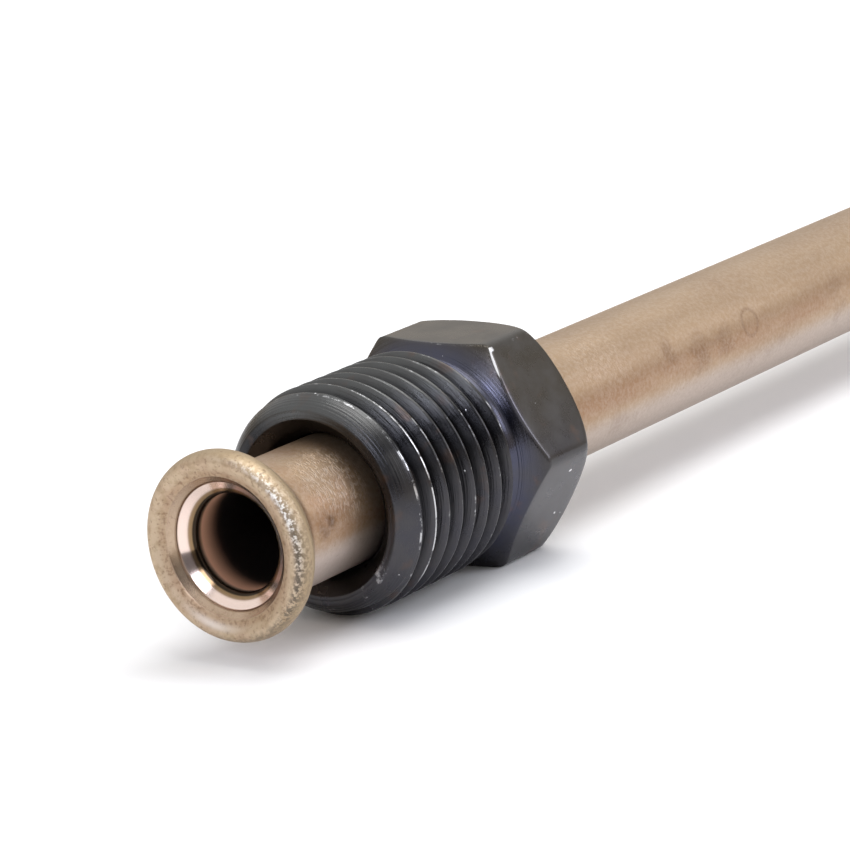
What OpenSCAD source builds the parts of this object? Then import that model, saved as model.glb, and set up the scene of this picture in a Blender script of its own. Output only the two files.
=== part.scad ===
// Short straight hydraulic brake line: a double-flared metal tube with a loose
// hexagon tube nut at each end. It lies along X, at rest on the nuts' flats.
// Millimetres. The origin is on the surface it lies on, below the middle of the line.

/* [Tube] */
// Length of the line, from flare face to flare face
line_len = 203.2; // [150:0.1:400]
// Outside diameter of the tube
tube_od = 6.35; // [6.0:0.01:6.6]
// Wall of the tube
tube_wall = 0.89; // [0.7:0.01:1.1]

/* [Flare] */
// Outside diameter of the flare
flare_od = 8.86; // [8.6:0.01:9.1]
// Radius of the rolled rim, seen in section
rim_round = 0.95; // [0.85:0.01:1.0]
// How far the middle of the rim's round lies behind the flare's face
rim_setback = 0.71; // [0.65:0.01:0.78]
// Radius of the crest that stands furthest forward
crest_round = 0.35; // [0.25:0.01:0.4]
// Diameter where the polished seat meets the flare's face
seat_od = 6.62; // [6.3:0.01:6.9]
// How far the seat's outer edge lies behind the flare's face
seat_setback = 0.28; // [0.2:0.01:0.34]
// Angle between the seat and the tube's axis
seat_angle = 48; // [45:0.5:50]
// Radius of the folded lip between seat and bore
lip_round = 0.2; // [0.1:0.01:0.3]
// Angle between the back of the flare and the tube's axis
back_angle = 45; // [42:0.5:48]
// Radius of the fillet between the back of the flare and the tube
back_fillet = 1.2; // [0.6:0.05:1.6]

/* [Nut thread and nose] */
// Distance from the flare's face to the nut's nose
nut_place = 6.87; // [4:0.01:40]
// Play between the tube and the nut's bore, on the radius
bore_play = 0.1; // [0.05:0.01:0.1]
// Outside diameter of the thread
thread_od = 10.92; // [10.6:0.01:10.94]
// Distance from the nose to the end of the thread
thread_len = 8.3; // [7:0.05:10]
// Diameter of the mouth that takes the flare
mouth_d = 8.44; // [8.2:0.01:8.7]
// How far the lead into the mouth's throat widens the bore, on the radius
throat_lead = 0.3; // [0.2:0.01:0.5]
// Angle between the throat's lead and the nut's axis
throat_angle = 25; // [15:1:35]
// Outside diameter of the flat ring at the tip of the nose
nose_face_d = 9.24; // [9.0:0.01:9.6]
// Radius of the rounded nose, seen in section
nose_round = 2; // [1.5:0.05:2.5]
// Diameter of the neck between thread and hexagon
neck_d = 9.5; // [9.0:0.05:9.8]
// Length of the neck that is plain, between its sloped ends
neck_flat = 0.12; // [0.05:0.01:1]
// Radius of the fillet between neck and hexagon
neck_fillet = 0.5; // [0.2:0.05:0.6]

/* [Nut hexagon] */
// Width across the flats
hex_af = 10.95; // [10.95:0.01:11.3]
// Diameter to which the corners are turned down
corner_d = 12.44; // [12.2:0.01:12.6]
// Length of the hexagon along the middle of a flat
hex_len = 4.5; // [3.5:0.05:6]
// Angle of the front chamfer, from the face
front_angle = 32; // [25:1:40]
// Radius of the rounded back edge, seen in section
back_round = 2.1; // [1.8:0.05:2.5]
// How far the back face stands out behind the middle of a flat
back_crown = 0.3; // [0.1:0.05:0.4]
// Chamfer at the back of the bore
bore_chamfer = 0.3; // [0.1:0.05:0.5]

/* [Hidden] */
$fn = 96;
// Length by which cutting tools run past a face
over = 1;
// Depth by which a straight face crosses the round that it blends into
blend = 0.002;

tube_r = tube_od / 2;
bore_r = tube_r - tube_wall;
axis_z = hex_af / 2;

// Sections are drawn as [radius, distance behind the front face].
rim_c = [flare_od / 2 - rim_round, rim_setback];
crest_c = [
    rim_c[0] + sqrt(pow(rim_round - crest_round, 2) - pow(rim_setback - crest_round, 2)),
    crest_round
];
seat_edge = [seat_od / 2, seat_setback];
// Where the seat would meet the bore, without its rounded lip
seat_depth = seat_setback + (seat_edge[0] - bore_r) / tan(seat_angle);
lip_c = [bore_r + lip_round, seat_depth + lip_round * (1 - cos(seat_angle)) / sin(seat_angle)];
// The back of the flare touches the rim here and would meet the tube at back_corner
back_touch = rim_c + rim_round * [cos(back_angle), sin(back_angle)];
back_corner = [tube_r, back_touch[1] + (back_touch[0] - tube_r) / tan(back_angle)];
back_reach = back_fillet * tan(back_angle / 2);
// Sides of the polygon that cuts the rim's sector, well outside the rim, and how
// many degrees the sector runs past the start of the flare's back
sector_reach = 2 * rim_round;
sector_past = 10;
fillet_c = [tube_r + back_fillet, back_corner[1] + back_reach];

thread_r = thread_od / 2;
bore_nut_r = tube_r + bore_play;
// The mouth's cone ends and its lead starts here
throat = [
    bore_nut_r + throat_lead,
    (mouth_d / 2 - bore_nut_r - throat_lead) / tan(back_angle)
];
neck_r = neck_d / 2;
nose_c = [
    thread_r - nose_round,
    sqrt(pow(nose_round, 2) - pow(nose_face_d / 2 - thread_r + nose_round, 2))
];
// The neck's ends slope down from the thread and up along the front chamfer
neck_slope = thread_r - neck_r;
neck_reach = neck_fillet * tan((90 - front_angle) / 2);
neck_corner = [neck_r, thread_len + neck_slope + neck_flat + neck_reach];
// The front chamfer's distance behind the nose, at a radius
function front_at(r) = neck_corner[1] + (r - neck_r) * tan(front_angle);
nut_back = front_at(hex_af / 2) + hex_len + back_crown;
back_c = [
    hex_af / 2 - sqrt(pow(back_round, 2) - pow(back_round - back_crown, 2)),
    nut_back - back_round
];

// Where a line from point p touches a circle, on the side of the flare's face
function touch(p, c, r) =
    let (d = p - c, to_p = atan2(d[1], d[0]), half = acos(r / norm(d)))
    c + r * [cos(to_p + half), sin(to_p + half)];

module flare_section() {
    lip_on_seat = lip_c - (lip_round - blend) * [cos(seat_angle), sin(seat_angle)];
    to_crest = (crest_c - rim_c) / norm(crest_c - rim_c);
    to_back = [cos(back_angle), sin(back_angle)];
    past_back = [cos(back_angle + sector_past), sin(back_angle + sector_past)];
    // The outline with its rounds left as straight cuts, less the fillet's circle
    difference() {
        polygon([
            [bore_r, line_len / 2],
            [bore_r, lip_c[1]],
            [bore_r + blend, lip_c[1]],
            lip_on_seat,
            seat_edge,
            touch(seat_edge, crest_c, crest_round - blend),
            crest_c,
            rim_c,
            rim_c + (rim_round - blend) * to_back,
            back_corner + back_reach * [sin(back_angle), -cos(back_angle)],
            fillet_c,
            back_corner + [0, back_reach],
            [tube_r, line_len / 2]
        ]);
        translate(fillet_c) circle(back_fillet + blend);
    }
    translate(lip_c) circle(lip_round);
    translate(crest_c) circle(crest_round);
    // Only the outer sector of the rim's round is part of the outline
    intersection() {
        translate(rim_c) circle(rim_round);
        polygon([
            rim_c,
            rim_c + sector_reach * to_crest,
            rim_c + sector_reach * (to_crest + [1, 0]),
            rim_c + sector_reach * (past_back + [1, 0]),
            rim_c + sector_reach * past_back
        ]);
    }
}

// The tube is one piece with both of its flares
module double_flared_tube() {
    color([0.74, 0.66, 0.56])
    translate([0, 0, axis_z])
    rotate([0, 90, 0])
    rotate_extrude() {
        translate([0, -line_len / 2]) flare_section();
        mirror([0, 1]) translate([0, -line_len / 2]) flare_section();
    }
}

module threaded_section() {
    polygon([
        [0, 0],
        [nose_face_d / 2, 0],
        [thread_r, nose_c[1]],
        [thread_r, thread_len],
        [neck_r, thread_len + neck_slope],
        neck_corner,
        [0, neck_corner[1]]
    ]);
    intersection() {
        translate(nose_c) circle(nose_round);
        square([thread_r, nose_c[1]]);
    }
}

module hex_section() {
    corner_r = corner_d / 2;
    fillet_at = [neck_r + neck_fillet, neck_corner[1] - neck_reach];
    difference() {
        polygon([
            [0, fillet_at[1]],
            [neck_r, fillet_at[1]],
            fillet_at,
            neck_corner + neck_reach * [cos(front_angle), sin(front_angle)],
            [corner_r, front_at(corner_r)],
            [corner_r, back_c[1]],
            [back_c[0], back_c[1]],
            [back_c[0], nut_back],
            [0, nut_back]
        ]);
        translate(fillet_at) circle(neck_fillet + blend);
    }
    intersection() {
        translate(back_c) circle(back_round);
        translate([0, back_c[1]]) square([corner_r, back_round]);
    }
}

// One tube nut, with its nose at the origin and its length along +X
module tube_nut() {
    rotate([0, 90, 0])
    difference() {
        union() {
            rotate_extrude() threaded_section();
            intersection() {
                rotate_extrude() hex_section();
                rotate([0, 0, 30])
                cylinder(h = nut_back + over, r = hex_af / 2 / cos(30), $fn = 6);
            }
        }
        translate([0, 0, -over])
        cylinder(h = nut_back + 2 * over, r = bore_nut_r);
        // Mouth of the nose, at the angle of the flare's back, and the lead that
        // clears the fillet behind the flare
        rotate_extrude()
        polygon([
            [0, 0],
            [mouth_d / 2, 0],
            throat,
            [bore_nut_r, throat[1] + throat_lead / tan(throat_angle)],
            [0, throat[1] + throat_lead / tan(throat_angle)]
        ]);
        translate([0, 0, nut_back - bore_chamfer])
        cylinder(h = bore_chamfer, r1 = bore_nut_r, r2 = bore_nut_r + bore_chamfer);
    }
}

module placed_nut() {
    translate([-line_len / 2 + nut_place, 0, axis_z]) tube_nut();
}

module near_tube_nut() {
    color([0.22, 0.22, 0.25]) placed_nut();
}

module far_tube_nut() {
    color([0.22, 0.22, 0.25]) rotate([0, 0, 180]) placed_nut();
}

double_flared_tube();
near_tube_nut();
far_tube_nut();
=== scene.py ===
"""Looks of a short hydraulic brake line: a double-flared tube with a loose tube nut at each end.

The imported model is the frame: +X runs along the line, +Z is up, and the line lies on z = 0.
Sizes here are in millimetres and angles in degrees, and a surface is scaled to metres last.
"""

import bpy
import numpy as np
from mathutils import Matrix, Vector


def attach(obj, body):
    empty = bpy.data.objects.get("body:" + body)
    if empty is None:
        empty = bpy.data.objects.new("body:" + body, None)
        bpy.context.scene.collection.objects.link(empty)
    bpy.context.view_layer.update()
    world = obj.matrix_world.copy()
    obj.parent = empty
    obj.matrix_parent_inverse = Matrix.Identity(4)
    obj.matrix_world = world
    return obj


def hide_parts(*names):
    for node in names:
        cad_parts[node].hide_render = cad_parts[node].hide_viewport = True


MM = 0.001

# The line
HALF_LENGTH = 101.6
AXIS_HEIGHT = 5.475
TUBE_RADIUS = 3.175
BORE_RADIUS = 2.285
# Length at each end over which the bore has close rows of points
FINE_BORE_LENGTH = 6

# The flare, as distances behind its face and radii
RIM_CENTRE = (0.71, 3.48)
RIM_ROUND = 0.95
RIM_ANGLES = (127, 45)
CREST_CENTRE = (0.35, 3.96)
CREST_ROUND = 0.35
CREST_ANGLES = (206, 127)
CREST_TOUCH = (0.036, 3.805)
SEAT_TOP = (0.28, 3.31)
SEAT_RIDGE = (0.63, 2.97)
SEAT_END = (1.141, 2.357)
RIDGE_STEP = 0.035
LIP_CENTRE = (1.295, 2.485)
LIP_ROUND = 0.2
LIP_ANGLES = (-90, -140)
LIP_EDGE = 2.45
FRINGE_EDGE = 2.64
BACK_START = (1.382, 4.152)
BACK_END = (1.861, 3.672)
FILLET_CENTRE = (2.856, 4.375)
FILLET_ROUND = 1.2
FILLET_ANGLES = (225, 270)

# The nut, as distances behind its nose and radii
NUT_PLACE = 6.87
NUT_BORE_RADIUS = 3.275
MOUTH_RADIUS = 4.22
THROAT = (0.645, 3.575)
THROAT_END = 1.288
NOSE_FACE_RADIUS = 4.62
NOSE_CENTRE = (1.629, 3.46)
NOSE_ROUND = 2.0
NOSE_ANGLES = (144.6, 90)
THREAD_RADIUS = 5.46
THREAD_END = 8.3
NECK_RADIUS = 4.75
NECK_START = 9.01
NECK_FILLET_CENTRE = (9.13, 5.25)
NECK_FILLET = 0.5
FRONT_ANGLE = 32
CHAMFER_START = (9.554, 4.985)
CORNER_RADIUS = 6.22
HEX_FRONT = 10.326
HALF_ACROSS_FLATS = 5.475
BACK_CENTRE = (12.56, 4.393)
BACK_ROUND = 2.1
BACK_FACE = 14.66
BORE_CHAMFER = 0.3

# Softness of the hexagon's edges, and how far marks reach beside an edge
EDGE_SOFTNESS = 0.1
EDGE_WIDTH = 0.07
TURNED_FADE = 0.1
MARGIN = 0.02

# The 7/16-24 thread
PITCH = 1.0583
THREAD_DEPTH = 0.62
FIRST_CREST = 0.415
GROOVE_START = 0.4
GROOVE_FADE = 0.35
CREST_HALF_WIDTH = 0.06
FLANK_SLOPE = 1.732
THREAD_SOFTNESS = 0.04
CREST_WEAR_WIDTH = 0.07

COLUMNS = 288

# Where the flare's rim is worn: a radius, how far behind the face, and angles round the axis
WORN_RIM_RADIUS = 4.22
WORN_RIM_DEPTH = 0.8
SILVER_SIDE = 150
SILVER_SPREAD = 34
SILVER_WIDTH = 0.13
DARK_WEAR_SIDE = 190
DARK_WEAR_SPREAD = 60
DARK_WEAR_WIDTH = 0.19

# A painted highlight: a brighter place painted onto the flare's face
GLINT_RADIUS = 3.68
GLINT_WIDTH = 0.17
GLINT_SIDE = 284
GLINT_SPREAD = 19

# The near nut's corner that is worn bare, as an angle round the axis
WORN_CORNER = 127
WORN_CORNER_SPREAD = 7
WORN_CORNER_DEPTH = 0.3

# Painted shade: the bore darkens from here on
BORE_DARK_START = 1.4
BORE_DARK_FADE = 1.5

# Marks on the tube's near half: a distance behind the flare's face, an angle round the axis,
# and a smudge's size and strength
SHORT_CRACKLE = (5.4, 140)
LONG_CRACKLE = (27.9, 136)
SMUDGES = (
    (4.1, 170, 0.58, 1.0), (3.5, 176, 0.6, 0.8), (33.3, 153, 0.8, 0.42), (33.6, 163, 0.7, 0.35),
    (36.3, 173, 1.5, 0.42), (38.6, 170, 1.3, 0.35),
)
RING_MARK = (41.4, 163)
RING_RADIUS = 0.72
RING_STRENGTH = 0.35
SMUDGE_RAGGED = 1.6
# Height above the axis of a painted reflection: a russet streak along the tube
STREAK_HEIGHT = 0.3

# Where a mark or a layer fades, as its distance or radius where it is gone and where it is full
RING_FADE = (0.18, 0.03)
SMUDGE_FADE = (1.8, 0.8)
SHORT_CRACKLE_FADE = (2.8, 0.8)
LONG_CRACKLE_FADE = (3.6, 0.8)
STREAK_FADE = (1.1, 0.1)
BY_FLARE_FADE = (8.0, 5.0)
FACE_FADE = (1.6, 1.1)
OLIVE_RIM_FADE = (4.1, 4.4)
PITTED_RADIUS = 3.42
PITTED_FADE = (0.3, 0.05)
# Heights at which the painted light on the thread's top starts and is full
GREY_THREAD_FADE = (3.2, 4.8)
GROOVE_FADE_RADII = (5.38, 5.0)

# Worn turns of the thread: the turns at which the wear is gone and full, at its start and its end
WHOLE_WEAR = ((1.16, 1.42), (1.7, 1.58))
BROKEN_WEAR = ((0.24, 0.32), (0.62, 0.5))

# Scratches round the tube
SCRATCH_FINENESS = 9.0
SCRATCH_SHARE = 0.5

# Finishes, and colours that paint reflections, light, a sheen and shade
TUBE_TAN = (0.395, 0.275, 0.17)
TUBE_BROWN = (0.35, 0.24, 0.147)
# Painted reflections of the floor on the tube's lower side
FLOOR_REFLECTION_PINK = (0.425, 0.345, 0.29)
FLOOR_REFLECTION_PALE = (0.6, 0.49, 0.43)
TUBE_RUSSET = (0.31, 0.17, 0.09)
TUBE_STAIN = (0.16, 0.082, 0.04)
TUBE_BRIGHT = (0.78, 0.7, 0.64)
FACE_TAN = (0.54, 0.42, 0.295)
FACE_OLIVE = (0.36, 0.27, 0.16)
FACE_ROSE = (0.46, 0.32, 0.225)
BAND_COLOUR = (0.42, 0.3, 0.22)
SEAT_COLOUR = (0.85, 0.68, 0.6)
SCRATCH_SILVER = (0.8, 0.78, 0.75)
SCRATCH_DARK = (0.1, 0.085, 0.07)
# Painted shade on the flare's lip, where the seat turns into the bore
LIP_PAINTED_SHADE = (0.03, 0.02, 0.012)
BORE_PINK = (0.72, 0.4, 0.26)
FRINGE_BROWN = (0.26, 0.17, 0.09)
# Painted shade deep in the bore
BORE_PAINTED_SHADE = (0.01, 0.007, 0.006)
OXIDE_BROWN = (0.064, 0.056, 0.046)
# Painted light on the thread's top
THREAD_TOP_PAINTED_LIGHT = (0.1, 0.102, 0.102)
OXIDE_BLACK = (0.03, 0.03, 0.032)
OXIDE_BLUE = (0.06, 0.059, 0.068)
# Violet temper tint at the neck, made lighter as a painted sheen
VIOLET_TINT_AND_SHEEN = (0.068, 0.07, 0.1)
OXIDE_PALE = (0.08, 0.077, 0.076)
OXIDE_RUST = (0.13, 0.08, 0.06)
BARE_STEEL = (0.8, 0.8, 0.82)
GROOVE_DARK = (0.018, 0.018, 0.02)
# Painted shade inside the nut
MOUTH_PAINTED_SHADE = (0.06, 0.053, 0.05)
FLOOR_COLOUR = (0.95, 0.95, 0.95)
TUBE_METAL = 0.85
TUBE_ROUGHNESS = 0.34
OXIDE_ROUGHNESS = 0.2
BUMP_HEIGHT = 0.05

# The middle of the nut's neck, as a distance behind the flare's face
NECK_PLACE = NUT_PLACE + 9.3

# The room: the side behind the camera is dark, and it is greyer towards its horizon
DARK_SIDE = (-0.88, -0.35, 0.32)
DARK_FROM = 0.79
DARK_TO = 0.94
HORIZON_TOP = 0.45
HORIZON_COLOUR = (0.52, 0.42, 0.31)
ROOM_LIGHT = (1.0, 1.0, 1.0)
ROOM_DARK = (0.03, 0.028, 0.032)
ROOM_STRENGTH = 0.75
FLOOR_HALF_SIZE = 3.0

# The lamps, in metres and watts: name, place, size, power and colour
LAMP_AIM = (-0.09, 0, 0)
LAMPS = (
    ("soft lamp above", (0.1, -0.1, 0.9), 0.7, 5.0, (1, 1, 1)),
    ("soft lamp right", (0.25, -0.55, 0.35), 0.3, 1.5, (0.85, 0.88, 1)),
    ("small lamp by the camera", (-0.597, -0.111, 0.303), 0.22, 1.0, (0.84, 0.87, 1)),
)

# The camera, in metres and degrees
CAMERA_PLACE = (-0.2243933, -0.1006585, 0.0515494)
CAMERA_TURN = (75.4193, 4.2837, -55.1719)
CAMERA_LENS = 158.546
CAMERA_SENSOR = 36.0


def straight(start, end, count):
    """Points from start towards end: start + t (end - start), with t from 0 up to but not at 1."""
    t = np.linspace(0, 1, count, endpoint=False)[:, None]
    return np.asarray(start) + t * (np.asarray(end, float) - start)


def arc(centre, radius, first, last, count):
    """Points on a circle: centre + radius (cos q, sin q), with q from first up to but not at last."""
    q = np.radians(np.linspace(first, last, count, endpoint=False))[:, None]
    return np.asarray(centre) + radius * np.hstack([np.cos(q), np.sin(q)])


def flare_outline():
    """Half of the tube's section from the bore out over the flare to the plain tube.

    Each point is [distance behind the face, radius]. Rounds are arcs, and the faces between are straight.
    """
    ridge_foot = (SEAT_RIDGE[0] + RIDGE_STEP, SEAT_RIDGE[1])
    return np.vstack([
        arc(LIP_CENTRE, LIP_ROUND, *LIP_ANGLES, 8),
        straight(SEAT_END, ridge_foot, 12),
        straight(ridge_foot, SEAT_RIDGE, 3),
        straight(SEAT_RIDGE, SEAT_TOP, 10),
        straight(SEAT_TOP, CREST_TOUCH, 10),
        arc(CREST_CENTRE, CREST_ROUND, *CREST_ANGLES, 12),
        arc(RIM_CENTRE, RIM_ROUND, *RIM_ANGLES, 28),
        straight(BACK_START, BACK_END, 6),
        arc(FILLET_CENTRE, FILLET_ROUND, *FILLET_ANGLES, 12),
        straight((FILLET_CENTRE[0], TUBE_RADIUS), (HALF_LENGTH, TUBE_RADIUS), 24),
    ])


def nut_outline():
    """Section of the nut as a closed loop, from the mouth over the hexagon and back through the bore.

    Each point is [distance behind the nose, radius], before the thread is cut and the flats are
    taken off.
    """
    chamfer_top = BACK_FACE - BORE_CHAMFER
    round_top = np.degrees(np.arcsin((CORNER_RADIUS - BACK_CENTRE[1]) / BACK_ROUND))
    back_top = (BACK_CENTRE[0] + BACK_ROUND * np.cos(np.radians(round_top)), CORNER_RADIUS)
    return np.vstack([
        straight((0, MOUTH_RADIUS), (0, NOSE_FACE_RADIUS), 5),
        arc(NOSE_CENTRE, NOSE_ROUND, *NOSE_ANGLES, 24),
        straight((NOSE_CENTRE[0], THREAD_RADIUS), (THREAD_END, THREAD_RADIUS), 168),
        straight((THREAD_END, THREAD_RADIUS), (NECK_START, NECK_RADIUS), 14),
        straight((NECK_START, NECK_RADIUS), (NECK_FILLET_CENTRE[0], NECK_RADIUS), 3),
        arc(NECK_FILLET_CENTRE, NECK_FILLET, 270, 270 + 90 - FRONT_ANGLE, 10),
        straight(CHAMFER_START, (HEX_FRONT, CORNER_RADIUS), 22),
        straight((HEX_FRONT, CORNER_RADIUS), back_top, 16),
        arc(BACK_CENTRE, BACK_ROUND, round_top, 0, 26),
        straight((BACK_FACE, BACK_CENTRE[1]), (BACK_FACE, NUT_BORE_RADIUS + BORE_CHAMFER), 6),
        straight((BACK_FACE, NUT_BORE_RADIUS + BORE_CHAMFER), (chamfer_top, NUT_BORE_RADIUS), 3),
        straight((chamfer_top, NUT_BORE_RADIUS), (THROAT_END, NUT_BORE_RADIUS), 14),
        straight((THROAT_END, NUT_BORE_RADIUS), THROAT, 4),
        straight(THROAT, (0, MOUTH_RADIUS), 8),
    ])


def smooth_min(a, b, softness):
    """The smaller of a and b, rounded where they meet: (a + b - sqrt((a - b)^2 + softness^2)) / 2."""
    return (a + b - np.sqrt((a - b) ** 2 + softness ** 2)) / 2


def smooth_step(value):
    """0 below 0, 1 above 1, and 3 t^2 - 2 t^3 between."""
    t = np.clip(value, 0, 1)
    return t * t * (3 - 2 * t)


def bell(value, middle, width):
    """A bell around middle: exp(-((value - middle) / width)^2)."""
    return np.exp(-((value - middle) / width) ** 2)


def below(value, edge, fade):
    """1 well below an edge and 0 above it: smooth_step((edge - value) / fade)."""
    return smooth_step((edge - value) / fade)


def angle_between(angle, middle):
    """How far angle lies from middle, in degrees from -180 to 180."""
    return (angle - middle + 180) % 360 - 180


def thread_radius(distance, angle):
    """Radius of a right-hand 60 degree thread with flat roots.

    A crest lies at first + pitch (k + angle / 360). The radius falls by the flank's slope times the
    distance from the crest, down to the thread's depth. The groove fades in near the nose.
    """
    turns = (distance - FIRST_CREST) / PITCH - angle / 360
    from_crest = np.abs(turns - np.round(turns)) * PITCH
    groove_place = FIRST_CREST + PITCH * (np.floor(turns) + 0.5 + angle / 360)
    depth = THREAD_DEPTH * smooth_step((groove_place - GROOVE_START) / GROOVE_FADE)
    fall = (from_crest - CREST_HALF_WIDTH) * FLANK_SLOPE
    fall = -smooth_min(-fall, 0 * fall, THREAD_SOFTNESS)
    return THREAD_RADIUS - smooth_min(fall, depth, THREAD_SOFTNESS)


def hexagon_radius(angle):
    """Distance from the axis to the hexagon's sides.

    It is half across the flats over cos(angle from a flat's middle).
    """
    from_flat = (angle - 90 + 30) % 60 - 30
    return HALF_ACROSS_FLATS / np.cos(np.radians(from_flat))


def tube_surface():
    """The tube as a closed outline carried round the axis: [x, radius cos q, height + radius sin q].

    The outline is the near flare's, then the far flare's backwards, then the bore from end to end.
    """
    half = flare_outline()
    near = half * (1, 1) + (-HALF_LENGTH, 0)
    far = half[::-1] * (-1, 1) + (HALF_LENGTH, 0)
    bore_end = HALF_LENGTH - LIP_CENTRE[0]
    bore_deep = bore_end - FINE_BORE_LENGTH
    bore = np.vstack([
        straight((bore_end, BORE_RADIUS), (bore_deep, BORE_RADIUS), 20)[1:],
        straight((bore_deep, BORE_RADIUS), (-bore_deep, BORE_RADIUS), 16),
        straight((-bore_deep, BORE_RADIUS), (-bore_end, BORE_RADIUS), 20),
    ])
    outline = np.vstack([near, far, bore])
    q = np.linspace(0, 360, COLUMNS, endpoint=False)[None]
    x = outline[:, :1] + 0 * q
    radius = outline[:, 1:] + 0 * q
    inside = np.arange(len(outline))[:, None] >= len(near) + len(far)
    return x, radius, q + 0 * x, inside + 0 * x


def nut_surface():
    """The nut as a closed outline carried round the axis, with its thread cut and its flats taken off.

    The radius is the outline's, or the thread's or the hexagon's where that is smaller.
    """
    outline = nut_outline()
    q = np.linspace(0, 360, COLUMNS, endpoint=False)[None]
    distance = outline[:, :1] + 0 * q
    radius = outline[:, 1:] + 0 * q
    rows = np.arange(len(outline))[:, None]
    last_outer = np.flatnonzero(outline[:, 0] >= BACK_FACE)[0]
    outer = rows < last_outer
    threaded = outer & (distance < NECK_START)
    cut = thread_radius(distance, q)
    flats = hexagon_radius(q) + 0 * distance
    hexagonal = outer & (distance > NECK_FILLET_CENTRE[0])
    plain = radius
    radius = np.where(threaded, smooth_min(plain, cut, THREAD_SOFTNESS / 2), radius)
    radius = np.where(hexagonal, smooth_min(plain, flats, EDGE_SOFTNESS), radius)
    edge = np.where(hexagonal, bell(plain, flats, EDGE_WIDTH), 0)
    turned = smooth_step((flats - plain) / TURNED_FADE) * (distance < HEX_FRONT + TURNED_FADE)
    turned = np.where(outer, turned, 0)
    # The inside, which gets painted shade
    inside = (~outer) & (radius < MOUTH_RADIUS - MARGIN) & (distance < BACK_FACE - MARGIN)
    return distance, radius, q + 0 * distance, edge, turned, inside + 0 * distance


def placed(x, radius, angle, far):
    """Points in metres about the line's axis: [x, radius cos angle, axis height + radius sin angle].

    The far one is the near one turned half round the upright.
    """
    turned = -1 if far else 1
    y = radius * np.cos(np.radians(angle))
    z = AXIS_HEIGHT + radius * np.sin(np.radians(angle))
    return np.stack([turned * x, turned * y, z], axis=-1) * MM


def make_piece(name, points, values):
    """A mesh of rows by columns of points, closed both ways, with values stored at its points.

    Its volume says which way its faces point, and they are turned outwards.
    """
    rows, columns, _ = points.shape
    index = np.arange(rows * columns).reshape(rows, columns)
    down = np.roll(index, -1, axis=0)
    across = np.roll(index, -1, axis=1)
    both = np.roll(down, -1, axis=1)
    faces = np.stack([index, down, both, across], axis=-1).reshape(-1, 4)
    flat = points.reshape(-1, 3)
    corner = flat[faces]
    volume = np.einsum("ij,ij->i", corner[:, 0], np.cross(corner[:, 1], corner[:, 2])).sum()
    volume += np.einsum("ij,ij->i", corner[:, 0], np.cross(corner[:, 2], corner[:, 3])).sum()
    if volume < 0:
        faces = faces[:, ::-1]
    mesh = bpy.data.meshes.new(name)
    mesh.from_pydata(flat.tolist(), [], faces.tolist())
    mesh.shade_smooth()
    for value_name, value in values.items():
        layer = mesh.attributes.new(value_name, "FLOAT", "POINT")
        layer.data.foreach_set("value", value.astype(np.float32).ravel())
    piece = bpy.data.objects.new(name, mesh)
    bpy.context.scene.collection.objects.link(piece)
    return piece


def make_tube():
    """The tube with both flares, and where it is polished, worn and stained, with a painted highlight on
    the flare's face and painted shade at its lip and in its bore.
    """
    x, radius, angle, inside = tube_surface()
    behind = HALF_LENGTH - np.abs(x)
    own_angle = np.where(x < 0, angle, 180 - angle)
    front = (behind < SEAT_END[0] + 0.1) & (inside < 0.5)
    band = np.where(front, below(radius, SEAT_TOP[1] + MARGIN, fade=0.05), 0)
    seat = np.where(front, below(radius, SEAT_RIDGE[1] + 0.01, fade=0.03), 0)
    # Painted shade on the lip, where the seat turns into the bore
    lip = np.where(behind < LIP_CENTRE[0] + LIP_ROUND, below(radius, LIP_EDGE, fade=0.04), 0)
    lip = lip * (1 - smooth_step((behind - LIP_CENTRE[0] - MARGIN) / 0.12))
    ridge = np.where(front, bell(radius, SEAT_RIDGE[1] + MARGIN, 0.03), 0)
    on_rim = behind < WORN_RIM_DEPTH
    silver_line = np.where(on_rim, bell(radius, WORN_RIM_RADIUS, SILVER_WIDTH), 0)
    dark_line = np.where(on_rim, bell(radius, WORN_RIM_RADIUS, DARK_WEAR_WIDTH), 0)
    silver_wear = silver_line * bell(angle_between(own_angle, SILVER_SIDE), 0, SILVER_SPREAD)
    dark_wear = dark_line * bell(angle_between(own_angle, DARK_WEAR_SIDE), 0, DARK_WEAR_SPREAD)
    # A painted highlight on the flare's face
    painted_glint = np.where(front, bell(radius, GLINT_RADIUS, GLINT_WIDTH), 0)
    painted_glint = painted_glint * bell(angle_between(own_angle, GLINT_SIDE), 0, GLINT_SPREAD)
    fringe = np.where(front, below(radius, FRINGE_EDGE, fade=0.1), 0)
    # Painted shade, darker deeper in the bore
    depth = np.where(inside > 0.5, smooth_step((behind - BORE_DARK_START) / BORE_DARK_FADE), 0)
    wall = np.where(inside > 0.5, 1.0, 0)
    values = {
        "band": band, "seat": seat, "lip": lip, "ridge": ridge, "silver_wear": silver_wear, "painted_glint": painted_glint,
        "dark_wear": dark_wear, "fringe": fringe, "painted_bore_shade": depth, "bore_wall": wall,
    }
    return make_piece("tube_with_flares", placed(x, radius, angle, False), values)


def make_nut(name, far, worn_corner):
    """One tube nut, with its worn edge, its turned surfaces and its inside marked, the inside for painted
    shade.
    """
    distance, radius, angle, edge, turned, inside = nut_surface()
    front = distance < HEX_FRONT + WORN_CORNER_DEPTH
    at_corner = bell(angle_between(angle, worn_corner), 0, WORN_CORNER_SPREAD)
    worn_edge = np.where(front, edge * at_corner, 0)
    values = {"edge": edge, "worn_edge": worn_edge, "turned": turned, "inside": inside}
    x = distance + NUT_PLACE - HALF_LENGTH
    return make_piece(name, placed(x, radius, angle, far), values)


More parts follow.
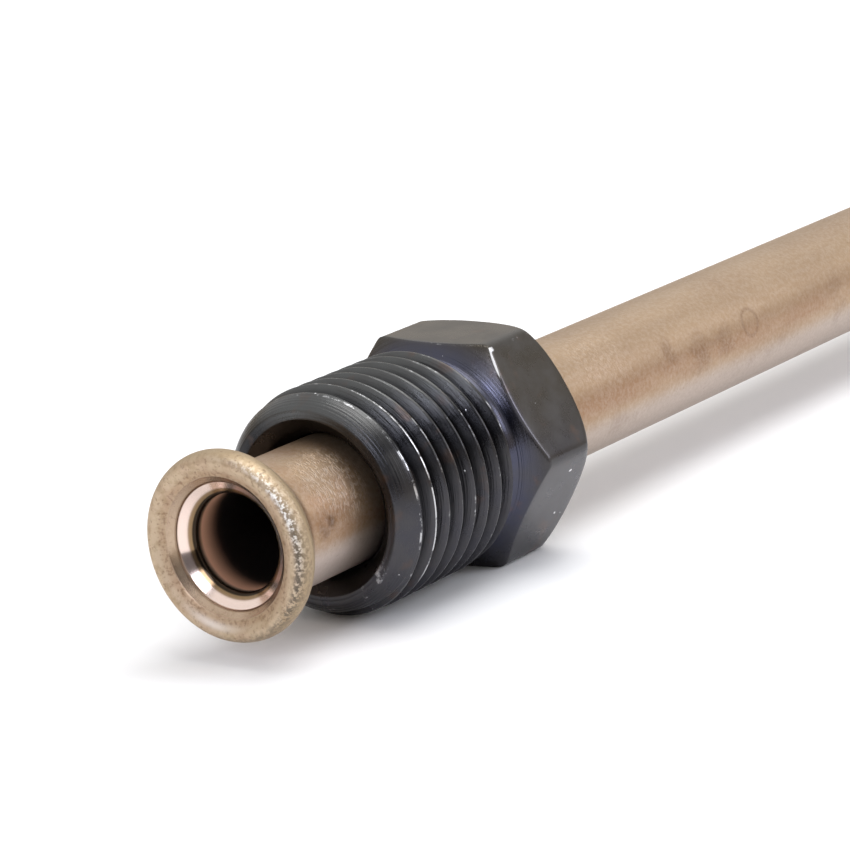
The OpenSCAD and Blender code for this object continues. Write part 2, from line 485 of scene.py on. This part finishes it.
def add(tree, kind, *sources, **settings):
    """A node with its settings, whose first inputs are linked to sockets or set to values."""
    made = tree.nodes.new(kind)
    for key, value in settings.items():
        setattr(made, key, value)
    for socket, source in zip(made.inputs, sources):
        if isinstance(source, bpy.types.NodeSocket):
            tree.links.new(source, socket)
        elif source is not None:
            socket.default_value = source
    return made


def calc(tree, operation, *sources):
    """The result of a Math node."""
    return add(tree, "ShaderNodeMath", *sources, operation=operation).outputs[0]


def times(tree, *sources):
    """The product of several values."""
    product = sources[0]
    for source in sources[1:]:
        product = calc(tree, "MULTIPLY", product, source)
    return product


def plus(tree, *sources):
    """The sum of several values."""
    total = sources[0]
    for source in sources[1:]:
        total = calc(tree, "ADD", total, source)
    return total


def between(tree, value, low, high):
    """0 at low and 1 at high, smooth between."""
    made = add(tree, "ShaderNodeMapRange", value, low, high, 0.0, 1.0, interpolation_type="SMOOTHSTEP")
    return made.outputs[0]


def blend(tree, amount, first, second):
    """A colour between first and second."""
    made = tree.nodes.new("ShaderNodeMix")
    made.data_type = "RGBA"
    for socket, source in zip((made.inputs[0], made.inputs[6], made.inputs[7]), (amount, first, second)):
        if isinstance(source, bpy.types.NodeSocket):
            tree.links.new(source, socket)
        elif isinstance(source, tuple):
            socket.default_value = (*source, 1)
        else:
            socket.default_value = source
    return made.outputs[2]


def noise(tree, place, scale, detail=2.0, rough=0.5):
    """Noise from 0 to 1 at a place."""
    made = add(tree, "ShaderNodeTexNoise")
    tree.links.new(place, made.inputs["Vector"])
    made.inputs["Scale"].default_value = scale
    made.inputs["Detail"].default_value = detail
    made.inputs["Roughness"].default_value = rough
    return made.outputs[0]


def patchy(tree, place, low, high, **pattern):
    """Patches: noise that counts as 0 below low and as 1 above high."""
    return between(tree, noise(tree, place, **pattern), low, high)


def tinted(tree, colour, tint, mask, share=1.0):
    """A colour turned towards a tint where the mask is, by the share."""
    amount = mask if share == 1.0 else times(tree, mask, share)
    return blend(tree, amount, colour, tint)


def stretched(tree, place, scale):
    """A place scaled by its own amount along each axis."""
    return add(tree, "ShaderNodeMapping", place, None, None, scale).outputs[0]


def point_value(tree, name):
    """A value stored at the piece's points."""
    return add(tree, "ShaderNodeAttribute", attribute_name=name).outputs["Fac"]


def start_group(name, inputs, outputs):
    """An empty node group with number or vector inputs and outputs."""
    group = bpy.data.node_groups.new(name, "ShaderNodeTree")
    for socket_name, kind in inputs:
        group.interface.new_socket(socket_name, in_out="INPUT", socket_type=kind)
    for socket_name, kind in outputs:
        group.interface.new_socket(socket_name, in_out="OUTPUT", socket_type=kind)
    entry = group.nodes.new("NodeGroupInput")
    end = group.nodes.new("NodeGroupOutput")
    return group, entry.outputs, end.inputs


def line_place_group():
    """A place on the line, in millimetres.

    Place is [along, across, up] from the line's axis. Behind is the distance behind the nearer flare's
    face. Turn is the angle round the axis, in turns, counted the same way on both halves of the line.
    """
    outputs = [("Place", "NodeSocketVector"), ("Behind", "NodeSocketFloat"), ("Radius", "NodeSocketFloat"),
               ("Up", "NodeSocketFloat"), ("Turn", "NodeSocketFloat")]
    group, _, result = start_group("place on the line", [], outputs)
    place = add(group, "ShaderNodeTexCoord").outputs["Object"]
    parts = add(group, "ShaderNodeSeparateXYZ", place).outputs
    along = calc(group, "DIVIDE", parts[0], MM)
    across = calc(group, "DIVIDE", parts[1], MM)
    up = calc(group, "SUBTRACT", calc(group, "DIVIDE", parts[2], MM), AXIS_HEIGHT)
    radius = calc(group, "SQRT", plus(group, times(group, across, across), times(group, up, up)))
    own_across = times(group, across, calc(group, "SIGN", along), -1.0)
    turn = calc(group, "DIVIDE", calc(group, "ARCTAN2", up, own_across), 2 * np.pi)
    joined = add(group, "ShaderNodeCombineXYZ", along, across, up).outputs[0]
    behind = calc(group, "SUBTRACT", HALF_LENGTH, calc(group, "ABSOLUTE", along))
    for source, socket in zip((joined, behind, radius, up, turn), result):
        group.links.new(source, socket)
    return group


def thread_crest_group():
    """The thread's crest line, and how many turns along the thread a place lies.

    A crest lies at first + pitch (k + turn), as in the thread's own surface. The line is 1 on the
    crest and 0 off it.
    """
    inputs = [("Behind", "NodeSocketFloat"), ("Turn", "NodeSocketFloat"), ("Width", "NodeSocketFloat")]
    outputs = [("Crest", "NodeSocketFloat"), ("Turns Along", "NodeSocketFloat")]
    group, entry, result = start_group("thread crest", inputs, outputs)
    distance = calc(group, "SUBTRACT", entry[0], NUT_PLACE + FIRST_CREST)
    turns = calc(group, "SUBTRACT", calc(group, "DIVIDE", distance, PITCH), entry[1])
    nearest = calc(group, "ROUND", turns)
    off = times(group, calc(group, "ABSOLUTE", calc(group, "SUBTRACT", turns, nearest)), PITCH)
    share = calc(group, "DIVIDE", off, entry[2])
    crest = calc(group, "SUBTRACT", 1.0, calc(group, "MINIMUM", times(group, share, share), 1.0))
    group.links.new(crest, result[0])
    group.links.new(plus(group, nearest, entry[1]), result[1])
    return group


def short_scratches_group():
    """Short fine scratches round the axis: noise drawn out across the line, kept only where it is high."""
    inputs = [("Place", "NodeSocketVector"), ("Fineness", "NodeSocketFloat"), ("Share", "NodeSocketFloat")]
    group, entry, result = start_group("short scratches", inputs, [("Scratches", "NodeSocketFloat")])
    long_way = stretched(group, entry[0], (1.0, 0.4, 0.4))
    lines = add(group, "ShaderNodeTexNoise")
    group.links.new(long_way, lines.inputs["Vector"])
    group.links.new(entry[1], lines.inputs["Scale"])
    lines.inputs["Detail"].default_value = 3.0
    lines.inputs["Roughness"].default_value = 0.6
    over = calc(group, "SUBTRACT", lines.outputs[0], calc(group, "SUBTRACT", 1.0, entry[2]))
    group.links.new(between(group, over, 0.0, 0.1), result[0])
    return group


def use_group(tree, group, *sources):
    """A node group placed in a tree."""
    made = tree.nodes.new("ShaderNodeGroup")
    made.node_tree = group
    for socket, source in zip(made.inputs, sources):
        if isinstance(source, bpy.types.NodeSocket):
            tree.links.new(source, socket)
        else:
            socket.default_value = source
    return made.outputs


def start_material(name):
    """A material with only a Principled BSDF."""
    material = bpy.data.materials.new(name)
    material.use_nodes = True
    return material, material.node_tree, material.node_tree.nodes["Principled BSDF"]


def finish_surface(tree, shader, colour, roughness, height, strength):
    """Links the finish's colour, roughness and height to the shader."""
    tree.links.new(colour, shader.inputs["Base Color"])
    tree.links.new(roughness, shader.inputs["Roughness"])
    raised = tree.nodes.new("ShaderNodeBump")
    raised.inputs["Strength"].default_value = strength
    raised.inputs["Distance"].default_value = BUMP_HEIGHT * MM
    tree.links.new(height, raised.inputs["Height"])
    tree.links.new(raised.outputs[0], shader.inputs["Normal"])


def mark_distance(tree, place, turn, behind, angle):
    """Distance along the near half's surface from a mark, in millimetres."""
    along = add(tree, "ShaderNodeSeparateXYZ", place).outputs[0]
    off_along = calc(tree, "SUBTRACT", along, behind - HALF_LENGTH)
    off_turn = calc(tree, "SUBTRACT", turn, angle / 360)
    off_turn = calc(tree, "SUBTRACT", off_turn, calc(tree, "ROUND", off_turn))
    off_round = times(tree, off_turn, 2 * np.pi * TUBE_RADIUS)
    squares = plus(tree, times(tree, off_along, off_along), times(tree, off_round, off_round))
    return calc(tree, "SQRT", squares)


def tube_stains(tree, place, turn):
    """Soft smudges, and one thin ring, on the tube's near half."""
    ragged = noise(tree, place, scale=1.6, detail=4.0, rough=0.6)
    ring_off = calc(tree, "SUBTRACT", mark_distance(tree, place, turn, *RING_MARK), RING_RADIUS)
    ring = between(tree, calc(tree, "ABSOLUTE", ring_off), *RING_FADE)
    stains = times(tree, ring, RING_STRENGTH)
    for behind, angle, size, strength in SMUDGES:
        away = calc(tree, "DIVIDE", mark_distance(tree, place, turn, behind, angle), size)
        edge = plus(tree, away, times(tree, ragged, SMUDGE_RAGGED))
        smudge = times(tree, between(tree, edge, *SMUDGE_FADE), strength)
        stains = calc(tree, "MAXIMUM", stains, smudge)
    return stains


def tube_body_colour(tree, place, behind, up, turn):
    """The drawn tube's tan, with clouds, stains and specks, a painted reflection of the floor that makes
    it pinker and greyer below, and a russet streak that is a painted reflection.
    """
    cloud = noise(tree, stretched(tree, place, (0.12, 0.5, 0.5)), scale=1.0, detail=3.0)
    colour = tinted(tree, TUBE_TAN, TUBE_BROWN, between(tree, cloud, 0.35, 0.65))
    # A painted reflection of the floor: the tube's lower side is pinker
    low = between(tree, plus(tree, up, times(tree, cloud, 0.6)), 0.1, -1.0)
    colour = tinted(tree, colour, FLOOR_REFLECTION_PINK, low)
    # A painted reflection: a russet streak along the tube, just above its axis
    off_streak = calc(tree, "ABSOLUTE", calc(tree, "SUBTRACT", up, STREAK_HEIGHT))
    streak = times(tree, between(tree, off_streak, *STREAK_FADE), between(tree, cloud, 0.25, 0.6))
    colour = tinted(tree, colour, TUBE_RUSSET, streak, share=0.7)
    by_flare = between(tree, behind, *BY_FLARE_FADE)
    # Russet patches near the flare, kept off the tube's lower side
    warm = patchy(tree, place, 0.35, 0.62, scale=0.5, detail=4.0)
    upper_russet_patches = times(tree, by_flare, calc(tree, "SUBTRACT", 1.0, low), warm)
    colour = tinted(tree, colour, TUBE_RUSSET, upper_russet_patches, share=0.5)
    # More painted reflection of the floor, paler, on the lower side near the flare
    colour = tinted(tree, colour, FLOOR_REFLECTION_PALE, times(tree, by_flare, low), share=0.6)
    clouded = times(tree, patchy(tree, place, 0.58, 0.72, scale=0.4, detail=4.0, rough=0.6), 0.2)
    stains = calc(tree, "MAXIMUM", clouded, tube_stains(tree, place, turn))
    colour = tinted(tree, colour, TUBE_STAIN, stains)
    grain = patchy(tree, place, 0.35, 0.7, scale=5.0, detail=5.0, rough=0.7)
    colour = tinted(tree, colour, TUBE_BRIGHT, grain, share=0.15)
    specks = patchy(tree, place, 0.6, 0.72, scale=7.0, detail=3.0, rough=0.6)
    return tinted(tree, colour, TUBE_STAIN, specks, share=0.24), cloud


def flare_face_colour(tree, place, radius, colour, on_face):
    """The flare's paler face, with olive and dark specks and pits."""
    colour = tinted(tree, colour, FACE_TAN, on_face)
    warm = patchy(tree, place, 0.42, 0.64, scale=1.1, detail=4.0, rough=0.6)
    colour = tinted(tree, colour, FACE_ROSE, times(tree, on_face, warm), share=0.5)
    olive = patchy(tree, place, 0.47, 0.66, scale=2.2, detail=5.0, rough=0.65)
    colour = tinted(tree, colour, FACE_OLIVE, times(tree, on_face, olive), share=0.55)
    rim = between(tree, radius, *OLIVE_RIM_FADE)
    colour = tinted(tree, colour, FACE_OLIVE, times(tree, on_face, rim), share=0.75)
    off_band = calc(tree, "ABSOLUTE", calc(tree, "SUBTRACT", radius, PITTED_RADIUS))
    by_band = between(tree, off_band, *PITTED_FADE)
    colour = tinted(tree, colour, TUBE_RUSSET, times(tree, on_face, by_band), share=0.3)
    pits = noise(tree, place, scale=6.0, detail=4.0, rough=0.6)
    pits = between(tree, plus(tree, pits, times(tree, by_band, 0.07)), 0.56, 0.68)
    return tinted(tree, colour, TUBE_STAIN, times(tree, on_face, pits), share=0.45), pits


def scratched_places(tree, place, turn, scratches):
    """Fine scratches: faint in patches, and strong in the two crackled places."""
    marks = use_group(tree, scratches, place, SCRATCH_FINENESS, SCRATCH_SHARE)[0]
    short = between(tree, mark_distance(tree, place, turn, *SHORT_CRACKLE), *SHORT_CRACKLE_FADE)
    long = between(tree, mark_distance(tree, place, turn, *LONG_CRACKLE), *LONG_CRACKLE_FADE)
    crackle = calc(tree, "MAXIMUM", short, times(tree, long, 0.35))
    faint = times(tree, patchy(tree, place, 0.5, 0.7, scale=0.3), 0.25)
    return times(tree, marks, calc(tree, "MINIMUM", plus(tree, faint, crackle), 1.0))


def copper_nickel(line_place, scratches):
    """Drawn copper-nickel: satin and tan, with stains, a polished seat and a worn rim, painted reflections
    along the tube, a painted highlight on the flare's face, and painted shade at the lip and in the bore.
    """
    material, tree, shader = start_material("satin copper nickel")
    place, behind, radius, up, turn = use_group(tree, line_place)
    colour, cloud = tube_body_colour(tree, place, behind, up, turn)
    on_face = between(tree, behind, *FACE_FADE)
    colour, pits = flare_face_colour(tree, place, radius, colour, on_face)
    marked = scratched_places(tree, place, turn, scratches)
    band = point_value(tree, "band")
    seat = point_value(tree, "seat")
    silver_wear = point_value(tree, "silver_wear")
    dark_wear = point_value(tree, "dark_wear")
    wall = point_value(tree, "bore_wall")
    mottle = noise(tree, place, scale=5.0, detail=5.0, rough=0.7)
    silver = times(tree, silver_wear, between(tree, mottle, 0.45, 0.56))
    grime = times(tree, dark_wear, between(tree, mottle, 0.57, 0.46))
    for tint, mask, share in (
        (TUBE_BRIGHT, marked, 0.2),
        # A painted highlight on the flare's face
        (TUBE_BRIGHT, point_value(tree, "painted_glint"), 0.8),
        (BAND_COLOUR, band, 0.5),
        (SEAT_COLOUR, seat, 1.0),
        (TUBE_STAIN, point_value(tree, "ridge"), 0.85),
        (SCRATCH_SILVER, silver, 1.0),
        (SCRATCH_DARK, grime, 0.9),
        (FRINGE_BROWN, point_value(tree, "fringe"), 1.0),
        (BORE_PINK, wall, 1.0),
        # Painted shade on the lip
        (LIP_PAINTED_SHADE, point_value(tree, "lip"), 1.0),
        # Painted shade deeper in the bore
        (BORE_PAINTED_SHADE, point_value(tree, "painted_bore_shade"), 1.0),
    ):
        colour = tinted(tree, colour, tint, mask, share)
    rough = TUBE_ROUGHNESS
    for mask, change in ((cloud, 0.12), (on_face, 0.08), (band, -0.24), (seat, -0.12), (silver, -0.1)):
        rough = plus(tree, rough, times(tree, mask, change))
    grain = noise(tree, place, scale=12.0, detail=3.0)
    pitted = times(tree, pits, on_face)
    wear = times(tree, calc(tree, "MAXIMUM", silver_wear, dark_wear), mottle)
    height = times(tree, grain, 0.3)
    for mask, change in ((marked, -0.7), (pitted, -0.6), (wear, 3.0)):
        height = plus(tree, height, times(tree, mask, change))
    height = times(tree, height, calc(tree, "SUBTRACT", 1.0, calc(tree, "MAXIMUM", band, seat)))
    metal = calc(tree, "SUBTRACT", TUBE_METAL, times(tree, wall, TUBE_METAL))
    tree.links.new(metal, shader.inputs["Metallic"])
    finish_surface(tree, shader, colour, rough, height, 0.4)
    return material


def worn_crests(tree, crest_place, behind, turn, place):
    """Bare metal along the thread's crest: nearly whole on one turn, broken on one, faint elsewhere."""
    crest, along = use_group(tree, crest_place, behind, turn, CREST_WEAR_WIDTH)
    whole, partly = (
        times(tree, between(tree, along, *start), between(tree, along, *end))
        for start, end in (WHOLE_WEAR, BROKEN_WEAR)
    )
    amount = plus(tree, 0.12, times(tree, whole, 0.34), times(tree, partly, 0.2))
    broken = noise(tree, place, scale=1.3, detail=5.0, rough=0.7)
    kept = between(tree, plus(tree, broken, times(tree, amount, 0.5)), 0.62, 0.74)
    strength = calc(tree, "MINIMUM", plus(tree, 0.3, amount), 1.0)
    on_thread = between(tree, behind, NUT_PLACE + THREAD_END + 0.1, NUT_PLACE + THREAD_END - 0.1)
    return times(tree, between(tree, crest, 0.1, 0.9), kept, strength, on_thread)


def oxide_colour(tree, place, behind, radius, up, cloud, neck, patches):
    """Brown-black above and blue-black below; on the thread, black with painted light making its top grey;
    violet at the neck, partly a painted sheen.
    """
    low = between(tree, plus(tree, up, times(tree, cloud, 4.0)), 5.5, 0.5)
    before_hexagon = between(tree, behind, NECK_PLACE + 0.6, NECK_PLACE)
    # Painted light: the thread is grey on its top and black on its sides
    thread_painted_light = tinted(tree, OXIDE_BLACK, THREAD_TOP_PAINTED_LIGHT, between(tree, up, *GREY_THREAD_FADE))
    before_neck = between(tree, behind, NECK_PLACE - 0.4, NECK_PLACE - 0.9)
    behind_nose = between(tree, behind, NUT_PLACE + 0.9, NUT_PLACE + 1.5)
    groove = times(tree, between(tree, radius, *GROOVE_FADE_RADII), before_neck, behind_nose)
    colour = tinted(tree, OXIDE_BROWN, thread_painted_light, before_hexagon)
    for tint, mask, share in (
        (OXIDE_BLUE, low, 1.0),
        # Violet tint at the neck, partly a painted sheen
        (VIOLET_TINT_AND_SHEEN, neck, 1.0),
        (OXIDE_PALE, patches, 0.5),
        (OXIDE_RUST, patchy(tree, place, 0.6, 0.75, scale=0.7, detail=3.0), 0.4),
        (GROOVE_DARK, groove, 0.65),
    ):
        colour = tinted(tree, colour, tint, mask, share)
    return colour


def bare_steel(tree, place, behind, turn, crest_place):
    """Where the oxide is gone: on the thread's crests, the hexagon's edges, one corner and small nicks."""
    edge = between(tree, point_value(tree, "edge"), 0.6, 0.95)
    edge_break = patchy(tree, place, 0.6, 0.72, scale=1.1, detail=4.0, rough=0.7)
    bare = worn_crests(tree, crest_place, behind, turn, place)
    for mask in (
        times(tree, edge, edge_break, 0.35),
        between(tree, point_value(tree, "worn_edge"), 0.2, 0.5),
        patchy(tree, place, 0.87, 0.89, scale=3.4, detail=0.0),
    ):
        bare = calc(tree, "MAXIMUM", bare, mask)
    return bare


def black_oxide(line_place, crest_place):
    """Turned steel with a worn black oxide, bare on crests and edges, with painted shade in the mouth."""
    material, tree, shader = start_material("worn black oxide steel")
    shader.inputs["Metallic"].default_value = 1.0
    place, behind, radius, up, turn = use_group(tree, line_place)
    cloud = noise(tree, place, scale=0.35, detail=3.0)
    # The neck: where the violet tint and painted sheen go, and where the oxide is smoother
    neck = between(tree, calc(tree, "ABSOLUTE", calc(tree, "SUBTRACT", behind, NECK_PLACE)), 1.0, 0.2)
    patches = patchy(tree, place, 0.3, 0.75, scale=0.8, detail=4.0, rough=0.6)
    colour = oxide_colour(tree, place, behind, radius, up, cloud, neck, patches)
    colour = tinted(tree, colour, BARE_STEEL, bare_steel(tree, place, behind, turn, crest_place))
    # Painted shade inside the nut's mouth and bore
    colour = tinted(tree, colour, MOUTH_PAINTED_SHADE, point_value(tree, "inside"))
    rough = OXIDE_ROUGHNESS
    for mask, change in ((cloud, 0.12), (patches, 0.08), (neck, -0.1)):
        rough = plus(tree, rough, times(tree, mask, change))
    along_profile = add(tree, "ShaderNodeCombineXYZ", behind, radius, 0.0).outputs[0]
    rings = noise(tree, along_profile, scale=9.0, detail=3.0, rough=0.6)
    satin = noise(tree, place, scale=8.0, detail=4.0, rough=0.6)
    height = plus(tree, times(tree, rings, point_value(tree, "turned"), 2.5), times(tree, satin, 0.25))
    finish_surface(tree, shader, colour, rough, height, 0.3)
    return material


def make_floor():
    """A pale floor, far larger than the view, and its white material."""
    half = FLOOR_HALF_SIZE
    mesh = bpy.data.meshes.new("pale_floor")
    corners = [(-half, -half, 0), (half, -half, 0), (half, half, 0), (-half, half, 0)]
    mesh.from_pydata(corners, [], [(0, 1, 2, 3)])
    floor = bpy.data.objects.new("pale_floor", mesh)
    bpy.context.scene.collection.objects.link(floor)
    material, _, shader = start_material("pale floor")
    shader.inputs["Base Color"].default_value = (*FLOOR_COLOUR, 1)
    shader.inputs["Roughness"].default_value = 1.0
    shader.inputs["Specular IOR Level"].default_value = 0.0
    mesh.materials.append(material)


def make_world():
    """A white room whose side behind the camera is dark, and whose horizon is a pale brown.

    The camera sees plain white, and shiny surfaces see the room at white's full strength.
    """
    world = bpy.data.worlds.new("white room")
    world.use_nodes = True
    tree = world.node_tree
    tree.nodes.clear()
    direction = add(tree, "ShaderNodeTexCoord").outputs["Generated"]
    towards = add(tree, "ShaderNodeVectorMath", direction, DARK_SIDE, operation="DOT_PRODUCT")
    dark = between(tree, towards.outputs["Value"], DARK_FROM, DARK_TO)
    height = add(tree, "ShaderNodeSeparateXYZ", direction).outputs[2]
    colour = blend(tree, between(tree, height, HORIZON_TOP, 0.0), ROOM_LIGHT, HORIZON_COLOUR)
    colour = blend(tree, dark, colour, ROOM_DARK)
    room = add(tree, "ShaderNodeBackground", colour, ROOM_STRENGTH).outputs[0]
    mirrored = add(tree, "ShaderNodeBackground", colour, 1.0).outputs[0]
    white = add(tree, "ShaderNodeBackground", (1, 1, 1, 1), 1.0).outputs[0]
    ray = add(tree, "ShaderNodeLightPath").outputs
    shiny = calc(tree, "MAXIMUM", ray["Is Glossy Ray"], ray["Is Transmission Ray"])
    lit = add(tree, "ShaderNodeMixShader", shiny, room, mirrored).outputs[0]
    joined = add(tree, "ShaderNodeMixShader", ray["Is Camera Ray"], lit, white).outputs[0]
    add(tree, "ShaderNodeOutputWorld", joined)
    bpy.context.scene.world = world


def make_lamp(name, place, size, power, colour):
    """A square soft lamp at a place, turned to face the near end of the line. Metres and watts."""
    light = bpy.data.lights.new(name, "AREA")
    light.size = size
    light.energy = power
    light.color = colour
    lamp = bpy.data.objects.new(name, light)
    lamp.location = place
    lamp.rotation_euler = (Vector(LAMP_AIM) - Vector(place)).to_track_quat("-Z", "Y").to_euler()
    bpy.context.scene.collection.objects.link(lamp)


def make_camera():
    """The camera at the photograph's place, with its turn and lens as worked out from the photograph."""
    lens = bpy.data.cameras.new("camera")
    lens.lens = CAMERA_LENS
    lens.sensor_width = CAMERA_SENSOR
    lens.clip_start = 0.01
    lens.clip_end = 20.0
    camera = bpy.data.objects.new("camera", lens)
    camera.location = CAMERA_PLACE
    camera.rotation_euler = np.radians(CAMERA_TURN)
    bpy.context.scene.collection.objects.link(camera)
    bpy.context.scene.camera = camera


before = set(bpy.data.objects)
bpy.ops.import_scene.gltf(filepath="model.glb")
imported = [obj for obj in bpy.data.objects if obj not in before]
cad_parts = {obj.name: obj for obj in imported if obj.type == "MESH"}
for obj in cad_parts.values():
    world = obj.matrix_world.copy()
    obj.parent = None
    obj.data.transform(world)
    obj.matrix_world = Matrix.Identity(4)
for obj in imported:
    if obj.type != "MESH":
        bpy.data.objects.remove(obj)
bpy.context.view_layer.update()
bpy.context.scene.view_settings.view_transform = "Standard"

make_camera()
make_floor()
make_world()
for lamp in LAMPS:
    make_lamp(*lamp)

line_place = line_place_group()
crest_place = thread_crest_group()
scratches = short_scratches_group()
tube_metal = copper_nickel(line_place, scratches)
nut_metal = black_oxide(line_place, crest_place)

tube = make_tube()
near_nut = make_nut("near_nut_threaded", False, WORN_CORNER)
far_nut = make_nut("far_nut_threaded", True, WORN_CORNER + 180)
for piece, node, body, slot, metal in (
    (tube, "double_flared_tube", "tube", "tube_metal", tube_metal),
    (near_nut, "near_tube_nut", "near_nut", "nut_steel", nut_metal),
    (far_nut, "far_tube_nut", "far_nut", "nut_steel", nut_metal),
):
    piece.data.materials.append(metal)
    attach(piece, body)
    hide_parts(node)
